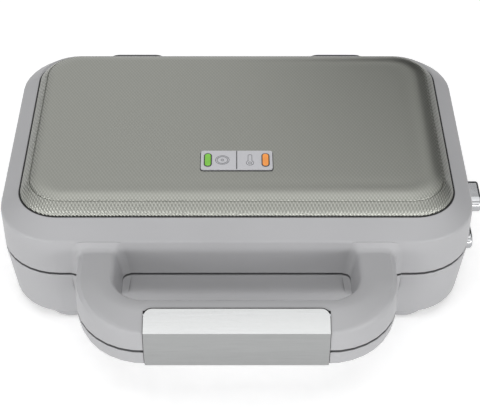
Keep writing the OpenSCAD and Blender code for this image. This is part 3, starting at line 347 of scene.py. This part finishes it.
def finishes():
    """Every finish by the record's slot name. They are made once."""
    made = bpy.context.scene.get("toaster_finishes")
    if made:
        return {slot: bpy.data.materials[name] for slot, name in made.items()}
    sizes = bpy.context.scene.toaster_sizes
    colours = bpy.context.scene.toaster_colours
    table = {
        "grey_moulding": moulded_abs("moulded_grey_abs", linear(colours.housing)),
        "charcoal_moulding": moulded_abs("moulded_charcoal_pbt", linear(colours.charcoal), 0.72),
        "textured_steel": embossed_steel("linen_embossed_stainless", linear(colours.cover),
                                         sizes.emboss_across, sizes.emboss_along, sizes.emboss_lean),
        "panel_silver": satin_metal("blasted_anodised_aluminium", linear(colours.panel), 0.42, metallic=0.6),
        "green_lens": lit_lens("green_polycarbonate", linear(colours.green), 0.08),
        "amber_lens": lit_lens("amber_polycarbonate", linear(colours.amber), 0.25),
        "polished_clip": satin_metal("brushed_stainless_clip", linear(colours.clip), 0.14, brushed=True),
        "bright_button": chromed_abs("chromed_abs", linear("#ADAEB0")),
        "nonstick_cast": speckled_ceramic("ceramic_coated_casting", linear("#3A3A3B"), linear("#B9B8B4")),
        "tray_steel": satin_metal("aluminised_steel", linear("#8B8D8E"), 0.4),
        "element_sheath": heat_tinted_steel("heat_tinted_sheath"),
        "zinc_steel": satin_metal("zinc_plated_steel", linear("#B7B9BC"), 0.3),
        "ceramic_white": fired_ceramic("steatite"),
        "rubber_black": soft_rubber("moulded_rubber", linear("#1D1D1E")),
        "wire_red": soft_rubber("silicone_insulation", linear("#7E2A22")),
        "board_green": moulded_abs("solder_mask", linear("#1F5A34"), 0.35),
        "lamp_glass": lit_lens("neon_lamp_glass", linear("#F0A060"), 0.4),
    }
    bpy.context.scene["toaster_finishes"] = {slot: material.name for slot, material in table.items()}
    return table


# Meshes

# Points closer than this are one, and faces that meet flatter than this are one
WELD = 0.002 * MM
COPLANAR = math.radians(0.3)
FLAT_FACE_WEIGHT = 80
EDGE_SEGMENTS = 2


def placed(name, data):
    """Adds an object to the scene."""
    item = bpy.data.objects.new(name, data)
    bpy.context.scene.collection.objects.link(item)
    return item


def as_piece(name, shape, node, crease):
    """Makes a piece of a bmesh. It stands for a node, rides with it and takes its slot."""
    mesh = bpy.data.meshes.new(name)
    bmesh.ops.recalc_face_normals(shape, faces=shape.faces)
    shape.to_mesh(mesh)
    shape.free()
    mesh.shade_smooth()
    mesh.set_sharp_from_angle(angle=math.radians(crease))
    mesh.materials.append(finishes()[slot_of(node)])
    piece = placed(name, mesh)
    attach(piece, body_of(node))
    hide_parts(node)
    return piece


def even_normals(piece):
    """Flat faces keep their own normal, so that only the rounded edges shade."""
    modifier = piece.modifiers.new("even_normals", "WEIGHTED_NORMAL")
    modifier.keep_sharp = True
    modifier.weight = FLAT_FACE_WEIGHT


def softened(node, name, edge, crease=30):
    """The node's own shape as a moulder or a press leaves it: welded, smooth across its facets,
    and with its hard edges rounded."""
    shape = bmesh.new()
    shape.from_mesh(frame["nodes"][node].data)
    bmesh.ops.remove_doubles(shape, verts=shape.verts, dist=WELD)
    bmesh.ops.dissolve_degenerate(shape, edges=shape.edges, dist=WELD)
    bmesh.ops.dissolve_limit(shape, angle_limit=COPLANAR, verts=shape.verts, edges=shape.edges)
    piece = as_piece(name, shape, node, crease)
    rounding = piece.modifiers.new("rounding", "BEVEL")
    rounding.width = edge
    rounding.segments = EDGE_SEGMENTS
    rounding.limit_method = "ANGLE"
    rounding.angle_limit = math.radians(crease)
    rounding.use_clamp_overlap = True
    even_normals(piece)


def dress(*nodes):
    """Gives nodes that keep their own mesh the finish of their slot."""
    for node in nodes:
        piece = frame["nodes"][node]
        piece.data.materials.clear()
        piece.data.materials.append(finishes()[slot_of(node)])


def arc(centre_x, centre_y, radius, start, turn, steps):
    """Points along a circle, anticlockwise from start degrees, with both ends."""
    angles = [math.radians(start + turn * i / steps) for i in range(steps + 1)]
    return [(centre_x + radius * math.cos(a), centre_y + radius * math.sin(a)) for a in angles]


def rounded_outline(width, depth, radius, steps):
    """A rounded rectangle about the origin, anticlockwise."""
    x, y = width / 2 - radius, depth / 2 - radius
    corners = ((x, y, 0), (-x, y, 90), (-x, -y, 180), (x, -y, 270))
    return [point for middle_x, middle_y, start in corners
            for point in arc(middle_x, middle_y, radius, start, 90, steps)]


def smooth_curve(points, steps):
    """A curve that passes near the points of a polyline and keeps its ends: quadratic arcs between
    the middles of its legs."""
    path = [Vector(points[0])]
    for a, b, c in zip(points, points[1:], points[2:]):
        start = (Vector(a) + Vector(b)) / 2
        end = (Vector(b) + Vector(c)) / 2
        for i in range(steps + 1):
            t = i / steps
            path.append(start * (1 - t) ** 2 + Vector(b) * 2 * t * (1 - t) + end * t ** 2)
    path.append(Vector(points[-1]))
    return path


def path_length(points):
    """Length of a polyline."""
    return sum(math.dist(a, b) for a, b in zip(points, points[1:]))


def drawn_line(name, outlines, radius, middle, height, node, material, closed=True, fineness=2):
    """Round lines through flat outlines about a middle, all at one height. They ride with a node."""
    curve = bpy.data.curves.new(name, "CURVE")
    curve.dimensions = "3D"
    curve.bevel_depth = radius
    curve.bevel_resolution = fineness
    for points in outlines:
        spline = curve.splines.new("POLY")
        spline.points.add(len(points) - 1)
        spline.use_cyclic_u = closed
        for point, (x, y) in zip(spline.points, points):
            point.co = (middle.x + x, middle.y + y, height, 1)
    curve.materials.append(material)
    piece = placed(name, curve)
    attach(piece, body_of(node))


# Pieces


class TOASTER_OT_housings(bpy.types.Operator):
    """Moulded lid and base with their split handle"""

    bl_idname = "toaster.housings"
    bl_label = "Housings"

    def execute(self, context):
        edge = context.scene.toaster_sizes.moulded_edge
        softened("lid_housing", "lid_moulding", edge)
        softened("base_housing", "base_moulding", edge)
        softened("base_underside", "underside_moulding", edge)
        return {"FINISHED"}


# Section of the pressed cover: inwards from its skirt, and up from the gap, in millimetres. It has
# a rolled edge, a crease, and a shallow channel before the flat top
COVER_SECTION = (
    (0, 0), (0.2, 1.2), (1.6, 3.2), (4.2, 5.8), (5.0, 6.35), (5.3, 6.6), (5.6, 5.9), (5.9, 7.0),
    (7.0, 7.4), (10.5, 8.3), (14, 8.5), (17.5, 8.36), (26, 8.5),
)
COVER_CURVE_STEPS = 4
COVER_CORNER_STEPS = 20
SKIRT_DEPTH = 2.4 * MM
# What a corner's radius loses for each metre that the outline is drawn in
CORNER_SHARE = 0.55
# The emboss is whole on the rolled edge, and fades inside it to what pressing left on the flat top.
# Its depth also sets how strongly its painted highlight and shade show
ROLL_WIDTH = 5 * MM
FADE_WIDTH = 5 * MM
FLAT_DEPTH = 0.3
# Painted shade: a black seal ring lies in the cover's gap, sized and placed to darken the gap line
SHADE_SEAL_RADIUS = 0.6 * MM
SHADE_SEAL_OUT = 0.5 * MM
SHADE_SEAL_DOWN = 0.38 * MM


class TOASTER_OT_cover(bpy.types.Operator):
    """Pressed and embossed metal cover, and a black seal round it that darkens its gap line as painted shade
    """

    bl_idname = "toaster.cover"
    bl_label = "Cover"

    def execute(self, context):
        sizes = context.scene.toaster_sizes
        width, length = COVER_HIGH.x - COVER_LOW.x, COVER_HIGH.y - COVER_LOW.y
        self.press_cover(width, length, sizes.cover_corner, sizes.cover_sheet)
        # Painted shade: the black ring darkens the cover's gap line
        shade_seal = rounded_outline(width + 2 * SHADE_SEAL_OUT, length + 2 * SHADE_SEAL_OUT, sizes.cover_corner + SHADE_SEAL_OUT,
                               COVER_CORNER_STEPS)
        drawn_line("cover_shade_seal", [shade_seal], SHADE_SEAL_RADIUS, COVER_MIDDLE, GAP_Z - SHADE_SEAL_DOWN, "lid_cover",
                   finishes()["rubber_black"], fineness=4)
        return {"FINISHED"}

    def press_cover(self, width, length, corner, sheet):
        """The cover as one closed sheet: rings down its inner side and up its outer side. Each point
        keeps its place on the flat sheet, for the emboss, and how deep the emboss is there."""
        rise = (COVER_HIGH.z - GAP_Z) / (COVER_SECTION[-1][1] * MM)
        outer = [(0.0, -SKIRT_DEPTH)]
        outer += [(p.x * MM, p.y * MM * rise) for p in smooth_curve(COVER_SECTION, COVER_CURVE_STEPS)]
        inner = [(sheet, -SKIRT_DEPTH)] + [(inset + sheet, height - sheet) for inset, height in outer[1:]]
        shape = bmesh.new()
        flat_map = shape.loops.layers.uv.new("sheet")
        depth = shape.verts.layers.float.new("depth")
        # On the flat sheet the top keeps its place, and the rest lies unrolled round it
        unrolled = path_length(outer) - outer[-1][0]
        flat_place = {}
        sides = []
        for side in (outer, inner):
            rings = []
            for n, (inset, height) in enumerate(side):
                outline = self.drawn_in(width, length, corner, inset)
                flat = self.drawn_in(width, length, corner, path_length(side[:n + 1]) - unrolled)
                fade = min(max((inset - ROLL_WIDTH) / FADE_WIDTH, 0), 1)
                ring = []
                for (x, y), place in zip(outline, flat):
                    point = shape.verts.new((COVER_MIDDLE.x + x, COVER_MIDDLE.y + y, GAP_Z + height))
                    point[depth] = 1 + (FLAT_DEPTH - 1) * fade
                    flat_place[point] = place
                    ring.append(point)
                rings.append(ring)
            sides.append(rings)
        outer_rings, inner_rings = sides
        rings = inner_rings[::-1] + outer_rings
        for lower, upper in zip(rings, rings[1:]):
            for i, point in enumerate(lower):
                after = (i + 1) % len(lower)
                shape.faces.new((point, lower[after], upper[after], upper[i]))
        shape.faces.new(rings[-1])
        shape.faces.new(rings[0][::-1])
        for face in shape.faces:
            for loop in face.loops:
                loop[flat_map].uv = flat_place[loop.vert]
        even_normals(as_piece("pressed_cover", shape, "lid_cover", crease=50))

    def drawn_in(self, width, length, corner, inset):
        """The cover's outline from above, drawn in by an inset."""
        return rounded_outline(width - 2 * inset, length - 2 * inset, corner - inset * CORNER_SHARE,
                               COVER_CORNER_STEPS)


LENS_EDGE = 0.4 * MM
# Pictograms on the panel, from its middle: rings for heating, and a thermometer for ready
MARK_STEPS = 48
RINGS_X = -8.2 * MM
RING_RADII = (3.9 * MM, 3.0 * MM, 0.8 * MM)
THERMOMETER_X = 7.6 * MM
BULB_Y = -2.6 * MM
BULB_RADIUS = 2.1 * MM
BULB_STEPS = 38
LEVEL_RADIUS = 0.9 * MM
STEM_RADIUS = 1.1 * MM
STEM_TOP = 3.8 * MM
STEM_STEPS = 23
# Dark lines: across the panel's middle, painted shade of its split; round each lens; and round the
# panel, a black gasket that darkens its gap as painted shade
DIVIDER_SHADE_LINE = 0.28 * MM
DIVIDER_SHADE_SHORT = 0.4 * MM
RIM_LINE = 0.35 * MM
RIM_OUT = 0.2 * MM
RIM_STEPS = 8
SHADE_GASKET_LINE = 0.3 * MM
SHADE_GASKET_OUT = 0.15 * MM
SHADE_GASKET_CORNER = 1.75 * MM
SHADE_GASKET_STEPS = 6


class TOASTER_OT_panel(bpy.types.Operator):
    """Indicator panel with its two lenses, two pictograms and dark lines, of which the divider and the gasket
    are painted shade
    """

    bl_idname = "toaster.panel"
    bl_label = "Indicator panel"

    def execute(self, context):
        sizes = context.scene.toaster_sizes
        softened("indicator_panel", "panel_plate", sizes.metal_edge)
        softened("power_light_lens", "power_lens", LENS_EDGE)
        softened("ready_light_lens", "ready_lens", LENS_EDGE)
        dress("lamp_board", "indicator_lamps")
        ink = painted_ink("grey_panel_ink", linear("#66676B"))
        self.lay_lines("heating_mark", self.heating_outlines(), sizes.mark_line, ink)
        self.lay_lines("ready_mark", self.ready_outlines(), sizes.mark_line, ink)
        dark_ink_and_shade = painted_ink("dark_panel_ink_and_shade", linear("#3C3D40"))
        width, depth = PANEL_HIGH.x - PANEL_LOW.x, PANEL_HIGH.y - PANEL_LOW.y
        # Painted shade: a dark line darkens the panel's split between its two windows
        divider_shade = [(0, DIVIDER_SHADE_SHORT - depth / 2), (0, depth / 2 - DIVIDER_SHADE_SHORT)]
        self.lay_lines("divider_shade_line", [divider_shade], DIVIDER_SHADE_LINE, dark_ink_and_shade, closed=False)
        self.lay_lines("lens_rims", self.rim_outlines(), RIM_LINE, dark_ink_and_shade)
        # Painted shade: a black gasket round the panel darkens the gap between panel and cover
        shade_gasket = rounded_outline(width + 2 * SHADE_GASKET_OUT, depth + 2 * SHADE_GASKET_OUT, SHADE_GASKET_CORNER, SHADE_GASKET_STEPS)
        self.lay_lines("panel_shade_gasket", [shade_gasket], SHADE_GASKET_LINE, finishes()["rubber_black"], COVER_HIGH.z)
        return {"FINISHED"}

    def lay_lines(self, name, outlines, line, material, height=PANEL_HIGH.z, closed=True):
        """Lines on the panel, whose lower half is sunk in what they lie on."""
        drawn_line(name, outlines, line, PANEL_MIDDLE, height, "indicator_panel",
                   material, closed)

    def heating_outlines(self):
        """Three rings, one in the other."""
        return [arc(RINGS_X, 0, radius, 0, 360, MARK_STEPS)[:-1] for radius in RING_RADII]

    def ready_outlines(self):
        """A thermometer: its bulb and stem in one line, and its level as a ring in the bulb."""
        side = math.degrees(math.asin(STEM_RADIUS / BULB_RADIUS))
        glass = arc(THERMOMETER_X, BULB_Y, BULB_RADIUS, 90 + side, 360 - 2 * side, BULB_STEPS)
        glass += arc(THERMOMETER_X, STEM_TOP, STEM_RADIUS, 0, 180, STEM_STEPS)
        return [glass, arc(THERMOMETER_X, BULB_Y, LEVEL_RADIUS, 0, 360, MARK_STEPS)[:-1]]

    def rim_outlines(self):
        """An outline just outside each lens."""
        outlines = []
        for node in ("power_light_lens", "ready_light_lens"):
            low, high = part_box(node)
            width, depth = high.x - low.x, high.y - low.y
            shift = (low.x + high.x) / 2 - PANEL_MIDDLE.x
            outline = rounded_outline(width + 2 * RIM_OUT, depth + 2 * RIM_OUT, width / 2 + RIM_OUT,
                                      RIM_STEPS)
            outlines.append([(shift + x, y) for x, y in outline])
        return outlines


class TOASTER_OT_latch(bpy.types.Operator):
    """Latch clip over the two halves of the grip"""

    bl_idname = "toaster.latch"
    bl_label = "Latch"

    def execute(self, context):
        softened("handle_latch", "latch_clip", context.scene.toaster_sizes.metal_edge, crease=20)
        dress("latch_pin", "latch_spring")
        return {"FINISHED"}


class TOASTER_OT_buttons(bpy.types.Operator):
    """Plate release buttons with their sliders and springs"""

    bl_idname = "toaster.buttons"
    bl_label = "Release buttons"

    def execute(self, context):
        edge = context.scene.toaster_sizes.metal_edge
        for place in ("upper", "lower"):
            softened(place + "_release_button", place + "_button", edge)
            dress(place + "_release_slider", place + "_release_spring")
        return {"FINISHED"}


class TOASTER_OT_plates(bpy.types.Operator):
    """Cast cooking plates"""

    bl_idname = "toaster.plates"
    bl_label = "Cooking plates"

    def execute(self, context):
        edge = context.scene.toaster_sizes.moulded_edge
        for place in ("upper", "lower"):
            softened(place + "_cooking_plate", place + "_plate", edge, crease=32)
        return {"FINISHED"}


class TOASTER_OT_hinges(bpy.types.Operator):
    """Rear hinges with their pins and screws"""

    bl_idname = "toaster.hinges"
    bl_label = "Hinges"

    def execute(self, context):
        sizes = context.scene.toaster_sizes
        softened("hinge_arms", "lid_hinge_arms", sizes.moulded_edge)
        softened("hinge_brackets", "base_hinge_brackets", sizes.moulded_edge)
        softened("hinge_pins", "hinge_pin_pair", sizes.metal_edge)
        dress("arm_screws", "bracket_screws")
        return {"FINISHED"}


class TOASTER_OT_works(bpy.types.Operator):
    """Trays, elements, controls and wires inside both halves"""

    bl_idname = "toaster.works"
    bl_label = "Inner works"

    def execute(self, context):
        for place in ("upper", "lower"):
            for part in ("tray", "heating_element", "element_clips", "tray_screws", "thermostat",
                         "thermal_fuse"):
                dress(place + "_" + part)
        dress("terminal_block", "base_wiring", "lid_wiring")
        return {"FINISHED"}


class TOASTER_OT_feet(bpy.types.Operator):
    """Rubber feet, underside screws and cord gland"""

    bl_idname = "toaster.feet"
    bl_label = "Feet and gland"

    def execute(self, context):
        edge = context.scene.toaster_sizes.moulded_edge
        for place in ("front_left", "front_right", "rear_left", "rear_right"):
            softened("foot_" + place, "pad_" + place, edge)
        softened("cord_gland", "gland_boot", edge)
        dress("underside_screws")
        return {"FINISHED"}


# Stage

# The camera's place and aim were fitted to the photograph
CAMERA_PLACE = Vector((-3.85, -605.8, 561.5)) * MM
CAMERA_AIM = Vector((-3.85, -52.3, 73.5)) * MM
CAMERA_LENS = 99.1
CAMERA_SENSOR = 36
CAMERA_SHIFT = 0.0069
CAMERA_NEAR, CAMERA_FAR = 0.01, 20
FLOOR_SIZE = 6.0
# How much an even light of its own lifts the floor that is seen, to make it white
FLOOR_LIFT = 0.4
WORLD_LIGHT = 0.44
# Softboxes: name, place, aim, width, height and power
SOFTBOXES = (
    ("overhead_softbox", (-0.1, 0.25, 1.5), (-0.1, 0.0, 0.0), 2.3, 1.2, 5.8),
    ("clip_strip", (0.0, -0.47, 1.5), (0.0, -0.15, 0.05), 1.2, 0.26, 1.6),
    ("left_softbox", (-1.3, -0.9, 0.3), (0.0, 0.0, 0.05), 0.8, 0.5, 6.0),
    ("right_softbox", (1.2, -1.1, 0.25), (0.0, 0.0, 0.05), 0.8, 0.4, 6.5),
    ("front_softbox", (0.0, -1.9, 0.12), (0.0, 0.0, 0.05), 2.4, 0.22, 10.5),
    ("high_front_softbox", (0.0, -1.3, 0.9), (0.0, -0.05, 0.05), 1.6, 0.4, 2.4),
)
# Black cards that give the metal its dark edges: name, place, aim, width and height
CARDS = (
    ("right_card", (0.8, 0.75, 0.42), (0.1, 0.0, 0.08), 1.7, 0.85),
    ("left_card", (-0.85, 0.6, 0.36), (-0.1, 0.0, 0.08), 0.5, 0.4),
)


def seen_directly(tree):
    """1 for what the camera sees, also by way of metal or glass, and 0 for light that falls on a surface."""
    path = add(tree, "ShaderNodeLightPath").outputs
    clear = add(tree, "ShaderNodeMath", {0: path["Is Camera Ray"], 1: path["Is Transmission Ray"]},
                operation="MAXIMUM").outputs[0]
    return add(tree, "ShaderNodeMath", {0: clear, 1: path["Is Glossy Ray"]}, operation="MAXIMUM").outputs[0]


def aim_at(item, place, aim):
    """Puts a lamp, a card or the camera at place and turns it to aim."""
    item.location = place
    item.rotation_euler = (Vector(aim) - Vector(place)).to_track_quat("-Z", "Y").to_euler()


def flat_sheet(name, width, depth, material):
    """A flat rectangle of the stage, about the origin."""
    shape = bmesh.new()
    corners = ((-1, -1), (1, -1), (1, 1), (-1, 1))
    shape.faces.new([shape.verts.new((x * width / 2, y * depth / 2, 0)) for x, y in corners])
    mesh = bpy.data.meshes.new(name)
    shape.to_mesh(mesh)
    shape.free()
    mesh.materials.append(material)
    sheet = placed(name, mesh)
    return sheet


class TOASTER_OT_stage(bpy.types.Operator):
    """Floor, lamps, world and camera"""

    bl_idname = "toaster.stage"
    bl_label = "Stage"

    def execute(self, context):
        self.make_floor()
        self.make_world(context.scene)
        for name, place, aim, width, height, power in SOFTBOXES:
            lamp = bpy.data.lights.new(name, "AREA")
            lamp.shape = "RECTANGLE"
            lamp.size = width
            lamp.size_y = height
            lamp.energy = power
            aim_at(placed(name, lamp), place, aim)
        for name, place, aim, width, height in CARDS:
            self.make_card(name, place, aim, width, height)
        self.make_camera(context.scene)
        context.scene.view_settings.view_transform = "Standard"
        return {"FINISHED"}

    def make_floor(self):
        """A white matt floor that keeps the toaster's shadow. What the camera and mirrors see of it is
        lifted to white by an even light of its own, which lights nothing."""
        material, tree, shader, place = new_material("pale_paper_sweep", Roughness=0.9,
                                                     Emission_Color=(1, 1, 1, 1))
        grained(tree, shader, place, width=4 * MM, colours=(linear("#F4F4F4"), linear("#FAFAFA")))
        lift = add(tree, "ShaderNodeMath", {0: seen_directly(tree), 1: FLOOR_LIFT}, operation="MULTIPLY")
        tree.links.new(lift.outputs[0], shader.inputs["Emission Strength"])
        flat_sheet("studio_floor", FLOOR_SIZE, FLOOR_SIZE, material)

    def make_world(self, scene):
        """Even pale light, which the camera and mirrors see as white."""
        world = bpy.data.worlds.new("studio_world")
        scene.world = world
        world.use_nodes = True
        tree = world.node_tree
        tree.nodes.clear()
        strength = add(tree, "ShaderNodeMapRange", {0: seen_directly(tree), 3: WORLD_LIGHT, 4: 1.0})
        light = add(tree, "ShaderNodeBackground", {"Color": (1, 1, 1, 1), "Strength": strength.outputs[0]})
        add(tree, "ShaderNodeOutputWorld", {"Surface": light.outputs[0]})

    def make_card(self, name, place, aim, width, height):
        """One black felt card, which only metal and gloss see."""
        material, tree, shader, where = new_material(name + "_felt", Roughness=0.95)
        grained(tree, shader, where, width=2 * MM, colours=(linear("#101010"), linear("#1A1A1A")))
        card = flat_sheet(name, width, height, material)
        aim_at(card, place, aim)
        card.visible_camera = False
        card.visible_diffuse = False
        card.visible_shadow = False

    def make_camera(self, scene):
        """The photograph's view."""
        camera = bpy.data.cameras.new("camera")
        camera.lens = CAMERA_LENS
        camera.sensor_width = CAMERA_SENSOR
        camera.shift_x = CAMERA_SHIFT
        camera.clip_start = CAMERA_NEAR
        camera.clip_end = CAMERA_FAR
        scene.camera = placed("camera", camera)
        aim_at(scene.camera, CAMERA_PLACE, CAMERA_AIM)


class TOASTER_PT_panel(bpy.types.Panel):
    """Buttons for every step, with the sizes and colours below them"""

    bl_label = "Sandwich toaster"
    bl_idname = "TOASTER_PT_panel"
    bl_space_type = "VIEW_3D"
    bl_region_type = "UI"
    bl_category = "Toaster"

    def draw(self, context):
        for step in STEPS:
            self.layout.operator(step.bl_idname)
        for group in (context.scene.toaster_sizes, context.scene.toaster_colours):
            for name in group.bl_rna.properties.keys():
                if name not in ("rna_type", "name"):
                    self.layout.prop(group, name)


STEPS = (
    TOASTER_OT_housings,
    TOASTER_OT_cover,
    TOASTER_OT_panel,
    TOASTER_OT_latch,
    TOASTER_OT_buttons,
    TOASTER_OT_plates,
    TOASTER_OT_hinges,
    TOASTER_OT_works,
    TOASTER_OT_feet,
    TOASTER_OT_stage,
)
CLASSES = (ToasterSizes, ToasterColours, *STEPS, TOASTER_PT_panel)


def register():
    """Registers the classes and hangs the sizes and colours on the scene."""
    for item in CLASSES:
        bpy.utils.register_class(item)
    bpy.types.Scene.toaster_sizes = bpy.props.PointerProperty(type=ToasterSizes)
    bpy.types.Scene.toaster_colours = bpy.props.PointerProperty(type=ToasterColours)


def unregister():
    """Takes all of it away again."""
    del bpy.types.Scene.toaster_colours
    del bpy.types.Scene.toaster_sizes
    for item in reversed(CLASSES):
        bpy.utils.unregister_class(item)


def main():
    """Runs every step in order."""
    register()
    bpy.ops.toaster.housings()
    bpy.ops.toaster.cover()
    bpy.ops.toaster.panel()
    bpy.ops.toaster.latch()
    bpy.ops.toaster.buttons()
    bpy.ops.toaster.plates()
    bpy.ops.toaster.hinges()
    bpy.ops.toaster.works()
    bpy.ops.toaster.feet()
    bpy.ops.toaster.stage()


if __name__ == "__main__":
    main()
